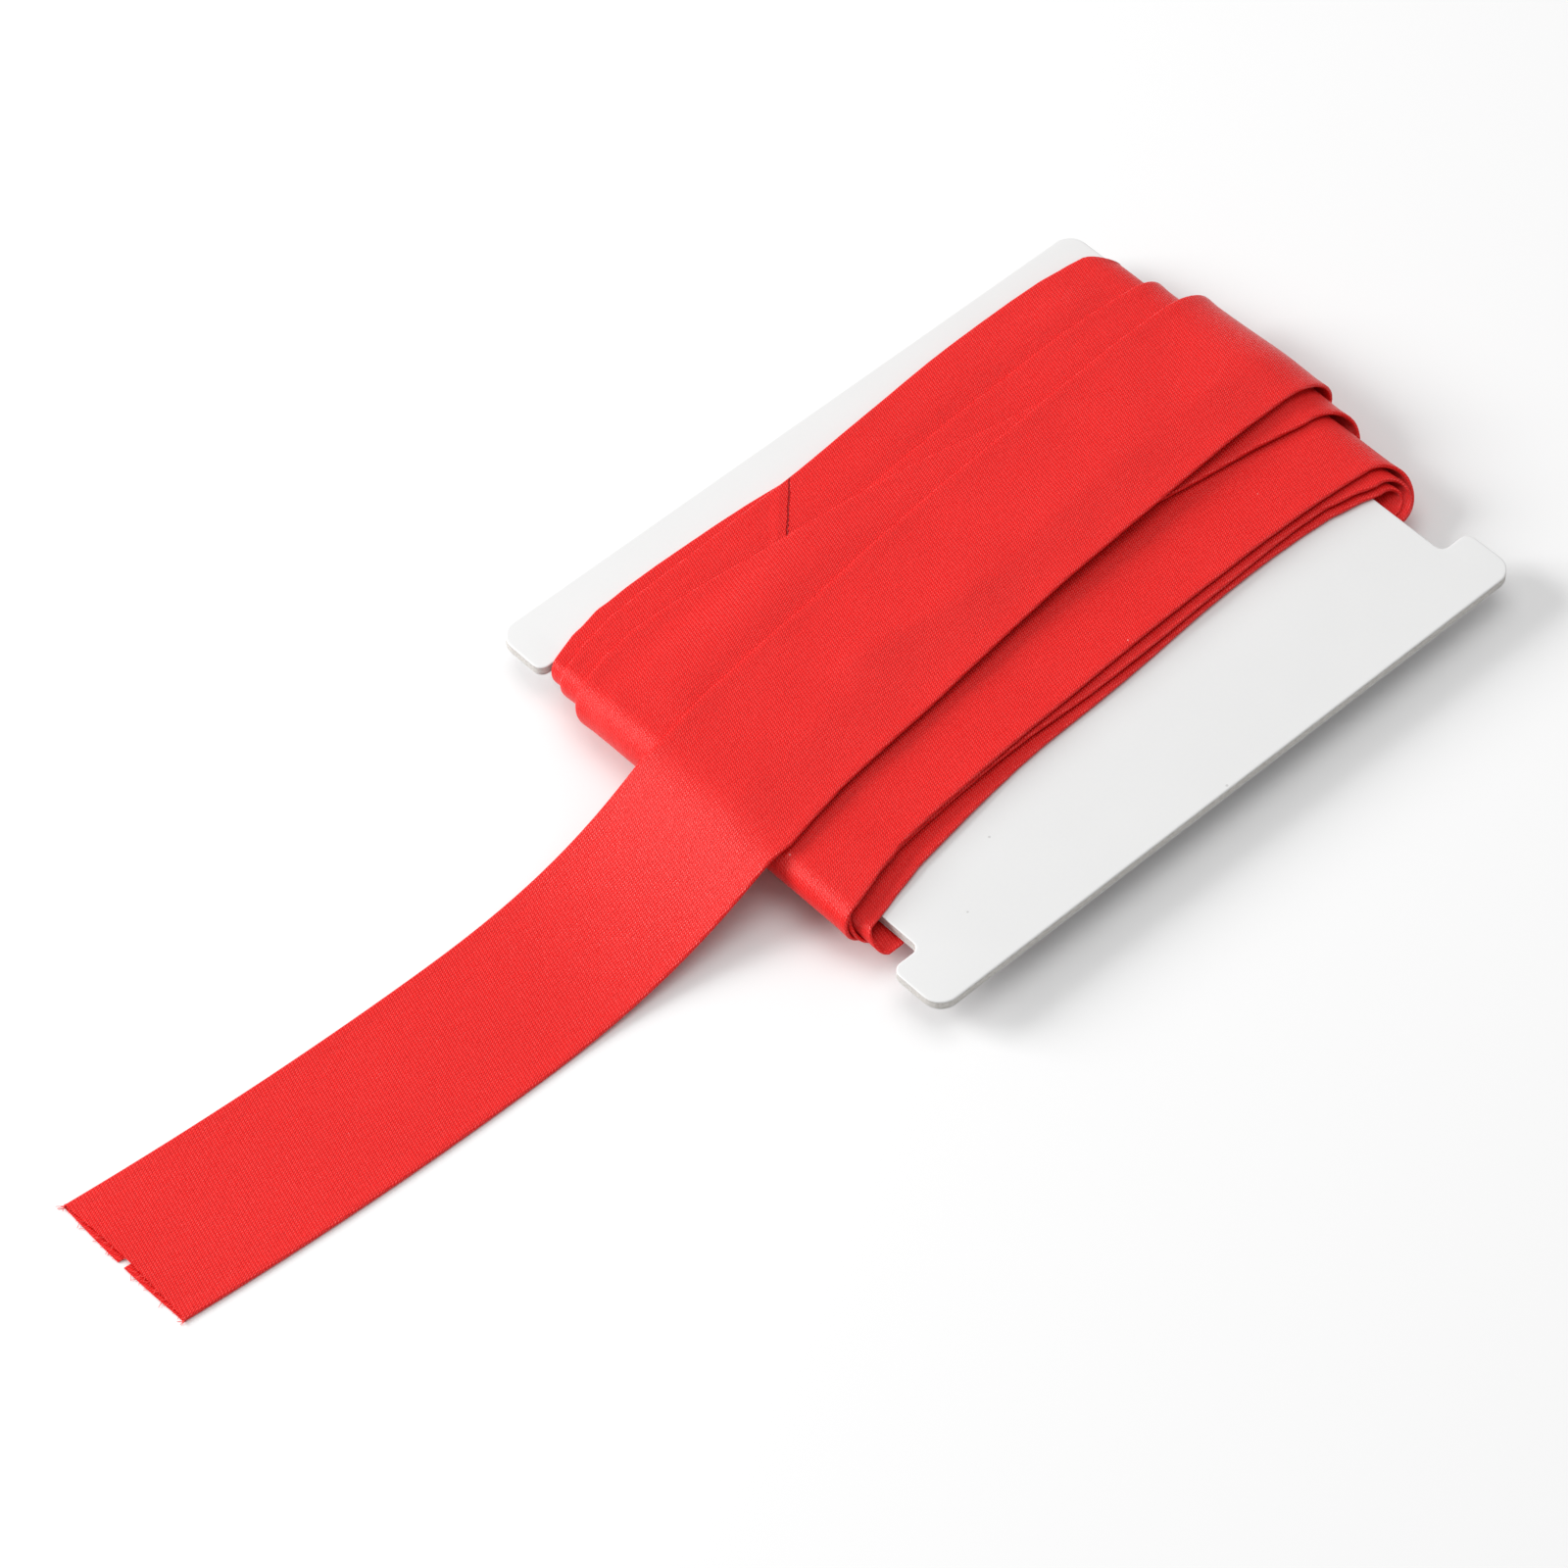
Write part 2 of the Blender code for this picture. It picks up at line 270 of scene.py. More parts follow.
paper_white = (0.80, 0.80, 0.795, 1.0)
paper_grey = (0.735, 0.735, 0.735, 1.0)
paper_lint = (0.42, 0.41, 0.40, 1.0)
paper_raggedness = 0.000006
# The pressed rim of the top paper, from the board up, and of the back paper, which is its mirror image.
paper_rim = ((0.0, 0.0), (0.45, 0.0), (0.8, 0.00005), (0.95, 0.00015), (1.0, 0.0003))
back_rim = tuple((1.0 - share, inset) for share, inset in reversed(paper_rim))

paper, finish = start_finish("white_paper")
place = finish.place()
cloud = finish.noise(place, 60.0, 3.0, 0.5)
tooth = finish.noise(place, 2200.0, 4.0, 0.6)
dents = finish.noise(place, 240.0, 2.0, 0.4)
speck = finish.node("ShaderNodeTexVoronoi", {}, {"Vector": place, "Scale": 260.0})
dusty = finish.noise(place, 90.0, 0.0)
lint = finish.math("LESS_THAN", speck, 0.045) * finish.math("GREATER_THAN", dusty, 0.56)
shade = finish.mix(0.6 * cloud + 0.3 * tooth, paper_white, paper_grey)
shade = finish.mix(0.5 * lint, shade, paper_lint)
bump = finish.bump(0.35, 0.00004, 0.35 * tooth + dents)
end_finish(finish, {
    "Base Color": shade, "Roughness": 0.42 + 0.16 * cloud, "Normal": bump, "Specular IOR Level": 0.45,
})

for name, node, (bottom, top), rim, seed in (
    ("top_paper", "card_top_liner", (top_low[2], top_high[2]), paper_rim, 5),
    ("back_paper", "card_back_liner", (back_low[2], back_high[2]), back_rim, 7),
):
    face_paper = cut_layer(name, node, bottom, top, rim, paper, paper_raggedness, seed)
    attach(face_paper, "winding")
    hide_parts(node)


# ---- Satin turns ----
# One strip of polyester satin, cut 40 mm wide on the bias and pressed with both edges folded
# under to the middle, is wound eight times through the notches. It is put on by hand, so each
# turn lies a little across the last and rides up where it crosses what is under it.

tape_half = 0.0100
ply = 0.00012
flange_gap = 0.0010
# The folded edge is a round loop, and the face sinks to a lower height between the two edges. Under
# the card the tape is squeezed to a share of its loose height.
fold_radius, face_rise, fold_slope = 0.00019, 0.00009, 0.0016
pressed, pressed_rise = 0.78, 0.0015
# The room left over each turn on the pile, how far its middle dips, and its small waves.
room_between, dish = 0.00016, 0.00006
ripple, ripple_size = 0.00006, 0.014
# How far the straight passes run past the card's notches before they bend.
far_slack, near_slack = 0.0010, 0.0019
lay_stations, lay_columns = 123, 41
bend_steps, under_steps, tail_steps = 22, 50, 150


def node_points(node):
    """The points of a CAD node as an array."""
    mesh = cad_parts[node].data
    points = np.zeros(len(mesh.vertices) * 3, np.float32)
    mesh.vertices.foreach_get("co", points)
    return points.reshape(-1, 3).astype(float)


def ease(share):
    """A smooth step from 0 to 1: three times the share's square less twice its cube."""
    return share * share * (3 - 2 * share)


def soften(height, axis):
    """Each value averaged with its two neighbours along an axis, with the ends repeated."""
    padded = np.concatenate([height.take([0], axis), height, height.take([-1], axis)], axis)
    before, after = (padded.take(np.arange(i, i + height.shape[axis]), axis) for i in (0, 2))
    return 0.25 * before + 0.5 * height + 0.25 * after


def drape(support, along, across):
    """The height of a tape laid on a pile: each round evens it out and lifts it clear of what is under it.

    Every round evens it lengthwise, and about as many as are asked for even it crosswise too.
    """
    height = support
    for step in range(along):
        height = soften(height, 0)
        if step % (along // across) == 0:
            height = soften(height, 1)
        height = np.maximum(height, support)
    return height


def wave(x, y, seed, size, count=7):
    """A surface with no period: a sum of sine waves whose directions and lengths are drawn from a seed."""
    draw = np.random.default_rng(seed)
    turn, phase = draw.uniform(0, 2 * math.pi, (2, count))
    number = 2 * math.pi / (size * draw.uniform(0.6, 1.6, count))
    waves = [np.sin(n * (x * math.cos(t) + y * math.sin(t)) + p) for n, t, p in zip(number, turn, phase)]
    return sum(waves) / math.sqrt(count)


def grid_of(x, y, z):
    """A grid of points from three arrays that are stretched to one shape."""
    return np.stack(np.broadcast_arrays(x, y, z), -1)


def between_columns(grid, spot):
    """The values of a grid at fractional columns of each row, in a straight line between two columns."""
    cell = spot.astype(int)
    part = spot - cell
    return np.take_along_axis(grid, cell, 1) * (1 - part) + np.take_along_axis(grid, cell + 1, 1) * part


card_top = float(top_high[2])
waist = (core_high[0] - core_low[0]) / 2 - notch_depth
far_x, near_x = card_middle[0] + waist + far_slack, card_middle[0] - waist - near_slack
ear_room = core_high[1] - ear_width - 0.0003
# Two turns meet under the card, just short of where the last one starts.
last_turn = node_points("tape_turn_8")
join_x = last_turn[last_turn[:, 2] < core_low[2], 0].min() - 0.00015
lay_x = np.linspace(far_x, near_x, lay_stations)
lay_v = np.linspace(-tape_half, tape_half, lay_columns)
share_across = (far_x - lay_x) / (far_x - near_x)
pile_step = 0.00025
pile_y = np.arange(core_low[1], core_high[1], pile_step)
pile = np.full((lay_stations, len(pile_y)), card_top)

# For each turn: how much further its far and near bends reach than the pressed tape's, and how many
# rounds of evening out it gets lengthwise and crosswise, which is how slack and how stiff it lies.
turns = (
    ((-0.0012, -0.0002), 200, 30),
    ((-0.0006, 0.0000), 200, 30),
    ((-0.0001, 0.0002), 200, 30),
    ((-0.0015, -0.0014), 200, 30),
    ((-0.0013, -0.0012), 200, 40),
    ((-0.0008, -0.0010), 200, 40),
    ((-0.0002, -0.0009), 200, 60),
    ((0.0004, 0.0000), 300, 300),
)


def centre_line(points, x):
    """The Y of a tape's centre line at each x: its two edges' points, each moved in by half the width.

    A straight line fitted through all the points tells one edge from the other.
    """
    order = np.argsort(points[:, 0])
    trend = np.polyval(np.polyfit(points[:, 0], points[:, 1], 1), points[:, 0])
    centre = points[:, 1] - np.sign(points[:, 1] - trend) * tape_half
    return np.interp(x, points[order, 0], centre[order])


def drift_round(top, bottom, slope, share):
    """The sideways place round a bend, from the pass over the card to the pass under it.

    A cubic leaves the top with that pass's own slope and arrives straight. Where the cloth would foul
    an ear of the card it bunches up against it.
    """
    bend_length = 0.0040
    place = top + (bottom - top) * ease(share) + slope * bend_length * share * (1 - share) ** 2
    over = np.clip(np.abs(place) - ear_room, 0, None)
    return place - np.sign(place) * over * ease(np.clip(share / 0.5, 0, 1))


def round_bend(start_x, reach, place, low, tall, angle):
    """A bend as half an ellipse in x and z for each column, at its sideways places."""
    return grid_of(start_x + reach * np.cos(angle), place, low + tall * (1 + np.sin(angle)))


def under_level(points):
    """The height of a pass under the card: the pressed tape's own, spread to the thicker cloth's pitch.

    A straight line carries the CAD's lowest pass to half a tape over the table, and its highest pass to
    half a tape under the card.
    """
    middle = (points[:, 2].max() + points[:, 2].min()) / 2
    half = fold_radius * pressed + ply / 2
    lowest, highest = 0.00015, back_low[2] - 0.00030
    return float(half + (middle - lowest) * (back_low[2] - 2 * half) / (highest - lowest))


tail_cad, end_cad = node_points("tail"), node_points("tail_end")
fall_length, fall_power = 0.0360, 2.65
rest = fold_radius + ply / 2
leave = tail_cad[tail_cad[:, 0] > tail_cad[:, 0].max() - 0.0004]
leave_x, leave_z = leave[:, 0].mean(), leave[:, 2].mean()


def fall_height(x):
    """The height of the loose tail: a power curve that leaves the winding and meets the table level."""
    share = np.clip((x - leave_x + fall_length) / fall_length, 0, None)
    return rest + (leave_z - rest) * share ** fall_power


def lower_of(first, second, width=0.0006):
    """The lower of two heights, with the corner between them rounded over a width.

    It is minus the width times the logarithm of a sum: the exponentials of minus each height over it.
    """
    return -width * np.logaddexp(-first / width, -second / width)


turn_cads = [node_points(f"tape_turn_{number}") for number in range(1, len(turns) + 1)]
edge_lines = np.array([centre_line(cad[cad[:, 2] > card_top], lay_x) + tape_half for cad in turn_cads])
puff, puff_start, puff_widest, puff_fade = 0.030, 0.002, 0.010, 0.07


def swell_beside(number, y):
    """How far a turn puffs up where it shows beside the turns over it, and dips to meet their edge.

    Across the bare strip it is a half sine, leant towards the cover, and it fades out near both bends.
    """
    cover = edge_lines[number:].max(0)
    bare = np.clip(edge_lines[number - 1] - cover, 0, puff_widest)[:, None]
    place = np.clip((y - cover[:, None]) / np.maximum(bare, 0.00001), 0, 1) * math.pi
    shape = np.sin(place) * (1 + 0.5 * np.cos(place))
    swell = puff * bare * shape * ease(np.clip(bare / puff_start, 0, 1))
    return swell * ease(np.clip(np.minimum(share_across, 1 - share_across) / puff_fade, 0, 1))[:, None]


turn_paths, seats = [], []
for number, ((far_more, near_more), along, across) in enumerate(turns, 1):
    cad = turn_cads[number - 1]
    under = cad[cad[:, 2] < core_low[2]]
    under_out, under_back = under[under[:, 0] > join_x], under[under[:, 0] < join_x]
    centre = centre_line(cad[cad[:, 2] > card_top], lay_x)
    lean = np.gradient(centre, lay_x)
    askew = np.sqrt(1 + lean ** 2)[:, None]
    y = centre[:, None] + lay_v[None] * askew

    # The tape's own height on the pile under it.
    support = between_columns(pile, np.clip((y - pile_y[0]) / pile_step, 0, len(pile_y) - 2))
    seat = drape(support, along, across) + fold_radius + ply / 2
    seat = seat + ripple * (1 + wave(lay_x[:, None], y, 40 + number, ripple_size))
    if number < len(turns):
        seat = seat + swell_beside(number, y)
    last_top = seat
    if number == len(turns):
        seat = lower_of(seat, fall_height(lay_x)[:, None])
    seats.append((y, seat))

    # The pile's new top: this tape's own top wherever it lies, a little dished between its thick folds.
    v = (pile_y[None] - centre[:, None]) / askew
    top = between_columns(seat, np.clip((v + tape_half) / (lay_v[1] - lay_v[0]), 0, lay_columns - 1.001))
    top = top + fold_radius + ply / 2 + room_between - dish * np.clip(1 - (v / tape_half) ** 2, 0, 1)
    pile = np.where(np.abs(v) < tape_half + pile_step, np.maximum(pile, top), pile)

    # Under the card to the far bend, over the top, and round the near bend to the underside again.
    low = under_level(under_out)
    x_out = join_x + (far_x - join_x) * np.linspace(0, 1, under_steps, endpoint=False)
    y_out = centre_line(under_out, x_out)
    angle = np.linspace(-math.pi / 2, math.pi / 2, bend_steps, endpoint=False)[:, None]
    reach = cad[:, 0].max() - ply - fold_radius + far_more - far_x
    y_bend = drift_round(y[0], y_out[-1] + lay_v, -lean[0], 0.5 - angle / math.pi)
    parts = [
        grid_of(x_out[:, None], y_out[:, None] + lay_v, low),
        round_bend(far_x, reach, y_bend, low, (seat[0] - low) / 2, angle),
        grid_of(lay_x[:, None], y, seat),
    ]
    if number < len(turns):
        low = under_level(under_back)
        x_back = near_x + (join_x - near_x) * np.linspace(0, 1, under_steps + 1)[1:]
        y_back = centre_line(under_back, x_back)
        angle = np.linspace(math.pi / 2, 3 * math.pi / 2, bend_steps + 1)[1:, None]
        reach = near_x - (cad[:, 0].min() + ply + fold_radius) + near_more
        y_bend = drift_round(y[-1], y_back[0] + lay_v, -lean[-1], angle / math.pi - 0.5)
        parts += [
            round_bend(near_x, reach, y_bend, low, (seat[-1] - low) / 2, angle),
            grid_of(x_back[:, None], y_back[:, None] + lay_v, low),
        ]
    turn_paths.append(np.concatenate(parts))

# The tail carries on from the last turn: it rounds the near end, falls to the table, and sways a
# little to one side and back.
tail_sway, tail_drift, tail_settle = 0.0018, 0.0013, 0.012
cut_x = end_cad[:, 0].min()
tail_x = np.linspace(near_x, cut_x, tail_steps)[1:]
gone = np.clip((leave_x - tail_x) / (leave_x - cut_x), 0, 1)
sway = tail_drift * gone - 4 * tail_sway * gone * (1 - gone)
settle = np.exp(-((near_x - tail_x) / tail_settle) ** 2)[:, None]
tail_y = centre[-1] + lay_v + settle * (seats[-1][0][-1] - centre[-1] - lay_v) + sway[:, None]
tail_height = lower_of(2 * last_top[-1] - last_top[-2], fall_height(tail_x)[:, None])
turn_paths.append(grid_of(tail_x[:, None], tail_y, tail_height))
turn_starts = np.concatenate([[0], np.cumsum([len(part) for part in turn_paths])])
path = np.concatenate(turn_paths)


def unit(vectors):
    """Vectors scaled to length 1."""
    return vectors / np.linalg.norm(vectors, axis=-1, keepdims=True)


along_tape = unit(np.gradient(path, axis=0))
across_tape = unit(np.gradient(path, axis=1))
off_tape = unit(np.cross(across_tape, along_tape))
step_length = np.linalg.norm(np.diff(path[:, lay_columns // 2], axis=0), axis=1)
travel = np.concatenate([[0], np.cumsum(step_length)])


def tape_section():
    """The strip seen from its end: places across and up of the cloth's middle, and on the flat strip.

    It runs from one cut edge under the tape, round a fold, over the face, round the other fold and back.
    """
    flat = np.linspace(flange_gap / 2, tape_half - fold_radius - ply / 2, 8)
    turn = np.radians(np.linspace(-90, 90, 7))[1:-1]
    face = np.linspace(tape_half - fold_radius - ply / 2, 0, 14)
    across = np.concatenate([flat, flat[-1] + fold_radius * np.cos(turn), face])
    up = np.concatenate([-fold_radius + 0 * flat, fold_radius * np.sin(turn), fold_radius + 0 * face])
    across, up = np.concatenate([across, -across[-2::-1]]), np.concatenate([up, up[-2::-1]])
    place = np.concatenate([[0], np.cumsum(np.hypot(np.diff(across), np.diff(up)))])
    return across, up, place - place[-1] / 2


# Away from its folds the section thins to the face's own height. Each of its points is spread over
# the two path columns that it lies between.
section_v, section_n, section_place = tape_section()
columns = len(section_v)
thin = (fold_radius - face_rise) * ease(np.clip((tape_half - np.abs(section_v)) / fold_slope - 0.2, 0, 1))
section_n = section_n - np.sign(section_n) * thin
facing = unit(np.stack([-np.gradient(section_n), np.gradient(section_v)], 1))
facing = -facing if facing[columns // 2, 1] < 0 else facing
picks = (section_v + tape_half) / (lay_v[1] - lay_v[0])
picked = np.clip(picks.astype(int), 0, lay_columns - 2)
spread = np.zeros((lay_columns, columns))
spread[picked, np.arange(columns)] += 1 - (picks - picked)
spread[picked + 1, np.arange(columns)] += picks - picked


def tape_piece(name, first, last, material, lift=0.0, slide=0.0):
    """A length of the folded tape as one closed solid, between two stations of the whole path.

    Each section point stands off the path by its own height, and the cloth's two faces stand half a
    ply to either side of it. lift and slide move parts of the section outwards and along the tape.
    """
    here = slice(first, last + 1)
    squash = pressed + (1 - pressed) * ease(np.clip((path[here, :1, 2] - back_low[2]) / pressed_rise, 0, 1))
    squash = np.where(path[here, :1, 0] < near_x - 0.002, 1.0, squash)
    spine, n, t, s = (
        np.einsum("svk,vj->sjk", field[here], spread) for field in (path, off_tape, across_tape, along_tape)
    )
    middle = spine + n * (section_n * squash + lift)[..., None] + s * np.asarray(slide)[..., None]
    stand = (t * facing[:, :1] + n * facing[:, 1:]) * ply / 2
    rings = np.concatenate([middle + stand, (middle - stand)[:, ::-1]], 1)
    count, around = rings.shape[:2]
    edge = np.arange(columns - 1)
    cap = np.stack([edge, edge + 1, around - 2 - edge, around - 1 - edge], 1)
    faces = np.concatenate([ring_faces(count, around), cap, cap[:, ::-1] + (count - 1) * around])
    uv = np.stack(np.broadcast_arrays(travel[here][:, None], section_place), -1)
    uv = np.concatenate([uv, uv[:, ::-1]], 1).reshape(-1, 2)
    return put_mesh(name, rings.reshape(-1, 3), faces, material, uv, sharp=60.0)


satin_red = (0.92, 0.0100, 0.0090, 1.0)
satin_deep = (0.58, 0.002, 0.002, 1.0)
satin_pale = (1.0, 0.084, 0.076, 1.0)
satin_lint = (0.95, 0.40, 0.38, 1.0)
# Painted shade for the seam's groove: the colour that the groove is darkened towards.
painted_seam_shade = (0.24, 0.003, 0.004, 1.0)
seam_groove, seam_allowance = 0.00016, 0.0011
# Ridges of the weave, as cycles a metre along the tape and across it, with their strengths: two sets
# nearly square to each other, and a finer set that runs slantwise where they cross.
cross_ridges, long_ridges = (2475.0, -603.0), (-367.0, -3374.0)
slant_ridges = (cross_ridges[0] + long_ridges[0], cross_ridges[1] + long_ridges[1])
weave = ((*cross_ridges, 0.8), (*long_ridges, 0.7), (*slant_ridges, 1.0))


def satin_cloth(name, seam=None):
    """Satin in the tape's own flat coordinates, with a row of tiny ridges for each direction of the weave.

    The tone adds the ridges, long slubs at 45 degrees and fine flecks. A seam is a line at 45 degrees on
    the upper pass: a groove darkened by painted shade, with the soft ridge of the seam allowance to one side
    of it.
    """
    cloth, finish = start_finish(name)
    flat = finish.node("ShaderNodeUVMap", {"uv_map": "tape"})
    u, v = (finish.node("ShaderNodeSeparateXYZ", {}, {"Vector": flat}, axis) for axis in "XY")
    threads = sum(
        finish.math("COSINE", (u * along + v * across) * (2 * math.pi)) * strength
        for along, across, strength in weave
    )
    turned = {"Vector": flat, "Rotation": (0, 0, math.radians(45)), "Scale": (1.0, 6.0, 1.0)}
    slub = finish.noise(finish.node("ShaderNodeMapping", {}, turned), 400.0, 3.0, 0.6)
    cloud = finish.noise(flat, 95.0)
    fleck = finish.noise(flat, 2400.0, 3.0, 0.75)
    speck = finish.node("ShaderNodeTexVoronoi", {}, {"Vector": flat, "Scale": 210.0})
    dusty = finish.noise(flat, 70.0)
    lint = finish.math("LESS_THAN", speck, 0.035) * finish.math("GREATER_THAN", dusty, 0.58)
    tone = 0.47 + 0.23 * threads + 0.22 * (slub - 0.5) + 0.7 * (fleck - 0.5)
    shade = finish.ramp(tone, (0.0, satin_deep), (0.5, satin_red), (1.0, satin_pale))
    shade = finish.mix(0.25 * cloud, shade, satin_deep)
    shade = finish.mix(0.6 * lint, shade, satin_lint)
    relief = threads * 0.45 + slub * 1.2 + fleck * 1.2
    if seam is not None:
        spot = finish.place()
        x, y, z = (finish.node("ShaderNodeSeparateXYZ", {}, {"Vector": spot}, axis) for axis in "XYZ")
        wobble = 0.00030 * (finish.noise(spot, 900.0) - 0.5)
        off = (x - y - (seam[0] - seam[1])) * math.sqrt(0.5) + wobble
        above = finish.math("GREATER_THAN", z, card_top)
        groove = 1.0 - finish.math("ABSOLUTE", off) / seam_groove
        groove = above * finish.math("MAXIMUM", groove, 0.0)
        ridge = 1.0 - finish.math("ABSOLUTE", off + seam_allowance) / seam_allowance
        ridge = above * finish.math("MAXIMUM", ridge, 0.0)
        # Painted shade darkens the groove along the seam, deepest at its middle.
        shade = finish.mix(0.6 * groove, shade, painted_seam_shade)
        relief = relief - 5.0 * groove + 3.0 * ridge
    end_finish(finish, {
        "Base Color": shade,
        "Roughness": 0.30 + 0.10 * (slub - 0.5) - 0.02 * threads,
        "Normal": finish.bump(0.8, 0.00005, relief),
        "Specular IOR Level": 0.44, "Specular Tint": (1.0, 0.62, 0.62, 1.0),
        "Sheen Weight": 0.08, "Sheen Roughness": 0.35, "Sheen Tint": (1.0, 0.5, 0.5, 1.0),
    })
    return cloth


# The join starts at one edge of the fifth turn and runs at 45 degrees to the edge of the turn that
# lies over it.
seam_turn = 5
seam_low, seam_high = (np.array(corner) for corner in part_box("join_seam_thread"))
seam_start = (float(seam_high[0]), float(seam_high[1]))
satin = satin_cloth("red_satin")
seamed_satin = satin_cloth("seamed_red_satin", seam_start)

for number in range(1, len(turns)):
    first, last = turn_starts[number - 1], turn_starts[number]
    cloth = seamed_satin if number == seam_turn else satin
    piece = tape_piece(f"satin_turn_{number}", first, last, cloth)
    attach(piece, "winding")
    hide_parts(f"tape_turn_{number}")


# ---- Join stitches ----
# Two lengths of strip are sewn together across the bias before it is folded. Fine dark-red polyester
# thread shows as a short row of stitches that sink into the seam.

first_stitch, stitch_pitch, stitch_length = 0.0006, 0.00085, 0.00060
stitch_radius, stitch_lift, stitch_wander = 0.000045, 0.00001, 0.00003
thread_dark = (0.26, 0.004, 0.006, 1.0)
thread_light = (0.42, 0.012, 0.014, 1.0)

thread, finish = start_finish("dark_red_thread")
strand = finish.noise(finish.place(), 6000.0, 3.0, 0.6)
shade = finish.mix(strand, thread_dark, thread_light)
bump = finish.bump(0.6, 0.00001, strand)
end_finish(finish, {"Base Color": shade, "Roughness": 0.55 + 0.2 * strand, "Normal": bump})


def lay_height(number, x, y):
    """The height of a turn's seat over the card at points x, y, read between its stations and columns."""
    grid_y, grid_z = seats[number - 1]
    row = np.clip((far_x - x) / (far_x - near_x) * (lay_stations - 1), 0, lay_stations - 1.001)
    i = row.astype(int)
    part = row - i

    def along_row(k):
        column = (y - grid_y[k, 0]) / (grid_y[k, -1] - grid_y[k, 0]) * (lay_columns - 1)
        column = np.clip(column, 0, lay_columns - 1.001)
        j = column.astype(int)
        return grid_z[k, j] * (1 - column + j) + grid_z[k, j + 1] * (column - j)

    return along_row(i) * (1 - part) + along_row(i + 1) * part


def on_seam(at, shift):
    """Points on the joined turn at distances along its seam, each moved off the seam's line by its shift."""
    flat = np.stack([seam_start[0] - at * math.sqrt(0.5), seam_start[1] - at * math.sqrt(0.5)], 1)
    flat = flat + shift[:, None] * (1, -1)
    height = lay_height(seam_turn, flat[:, 0], flat[:, 1]) + face_rise + ply / 2 + stitch_lift
    return np.column_stack([flat, height])


def thread_rods(starts, ends, radius, around=8):
    """Closed rods between pairs of points, each of four rings that narrow towards its two ends."""
    axis = ends - starts
    axis = axis / np.linalg.norm(axis, axis=1, keepdims=True)
    side = np.cross(axis, (0.0, 0.0, 1.0))
    side = side / np.linalg.norm(side, axis=1, keepdims=True)
    up = np.cross(side, axis)
    turn = np.linspace(0, 2 * math.pi, around, endpoint=False)
    ring = side[:, None] * np.cos(turn)[:, None] + up[:, None] * np.sin(turn)[:, None]
    share, swell = np.array(((0.0, 0.35), (0.12, 1.0), (0.88, 1.0), (1.0, 0.35))).T
    centre = starts[:, None] + (ends - starts)[:, None] * share[:, None]
    points = centre[:, :, None] + ring[:, None] * (swell * radius)[:, None, None]
    first = np.arange(len(starts)) * 4 * around
    faces = (ring_faces(4, around)[None] + first[:, None, None]).reshape(-1, 4).tolist()
    caps = [list(range(around))[::-1], list(range(3 * around, 4 * around))]
    return points.reshape(-1, 3), faces + [[k + int(i) for k in cap] for i in first for cap in caps]


stitch_at = np.arange(first_stitch, float(seam_high[0] - seam_low[0]) * math.sqrt(2), stitch_pitch)
shifts = np.random.default_rng(11).normal(0, stitch_wander, (2, len(stitch_at)))
stitch_starts, stitch_ends = on_seam(stitch_at, shifts[0]), on_seam(stitch_at + stitch_length, shifts[1])
points, faces = thread_rods(stitch_starts, stitch_ends, stitch_radius)
stitches = put_mesh("join_stitches", points, faces, thread)
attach(stitches, "winding")
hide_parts("join_seam_thread")


# ---- Last turn and tail ----
# The last turn lies over the others and runs on past the near notch as a loose tail, which drops
# to the table.

tail_hinge_x = (tail_cad[:, 0].max() + last_turn[:, 0].min()) / 2
tail_bend, end_bend = 0.0045, 0.0050
tail_cut_x = end_cad[:, 0].max() + 0.0080
first, last = turn_starts[-3], turn_starts[-1] - 1
on_tail = np.arange(turn_starts[-2], last + 1)
split_at = int(on_tail[np.argmin(np.abs(path[on_tail, lay_columns // 2, 0] - tail_cut_x))])
tail = tape_piece("satin_tail", first, split_at, satin)
tail_hinge_x + tail_bend
tail_hinge_x - tail_bend
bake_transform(tail)
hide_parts("tape_turn_8", "tail")

# At the scissors' cut the face bows up off the folded-under edges and draws back from them.
cut_reach, face_lift, face_back, edge_out = 0.008, 0.00030, 0.00030, 0.00015
stations = np.arange(split_at, last + 1)
to_cut = np.clip(1 - (travel[last] - travel[stations]) / cut_reach, 0, 1)[:, None] ** 2
is_face = (section_n > 0)[None]
bow = np.clip(1 - (section_v / (tape_half - 0.0005)) ** 2, 0, 1)[None]
tail_end = tape_piece(
    "satin_tail_end", split_at, last, satin,
    lift=to_cut * is_face * bow * face_lift,
    slide=to_cut * np.where(is_face, -face_back * bow, edge_out + face_back * bow),
)
end_hinge_x = end_cad[:, 0].max() + 0.00015
end_hinge_x + end_bend
end_hinge_x - end_bend
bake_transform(tail_end)
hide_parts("tail_end")


# ---- Cut threads ----
# The scissors leave the cut end raw, so its yarns stand out from both plies as a fine fringe. Each
# yarn leans to one of the two directions of the bias weave.

yarn_count, yarn_radius, yarn_longest, yarn_root = 90, 0.00003, 0.00075, 0.0002
draw = np.random.default_rng(21)
end_rim = np.zeros(len(tail_end.data.vertices) * 3, np.float32)
tail_end.data.vertices.foreach_get("co", end_rim)
end_rim = end_rim.reshape(-1, 2 * columns, 3)[-1].astype(float)
middle_line = (end_rim[:columns] + end_rim[columns:][::-1]) / 2
pick = draw.uniform(0.5, columns - 1.5, yarn_count)
low_end = pick.astype(int)
root = middle_line[low_end] + (middle_line[low_end + 1] - middle_line[low_end]) * (pick - low_end)[:, None]
length = draw.uniform(0.25, 1.0, yarn_count) ** 2 * yarn_longest
sideways = np.where(draw.uniform(0, 1, yarn_count) < 0.5, -0.7, 0.7) + draw.normal(0, 0.25, yarn_count)
lean_out = np.stack([-np.ones(yarn_count), sideways, draw.normal(0, 0.12, yarn_count)], 1)
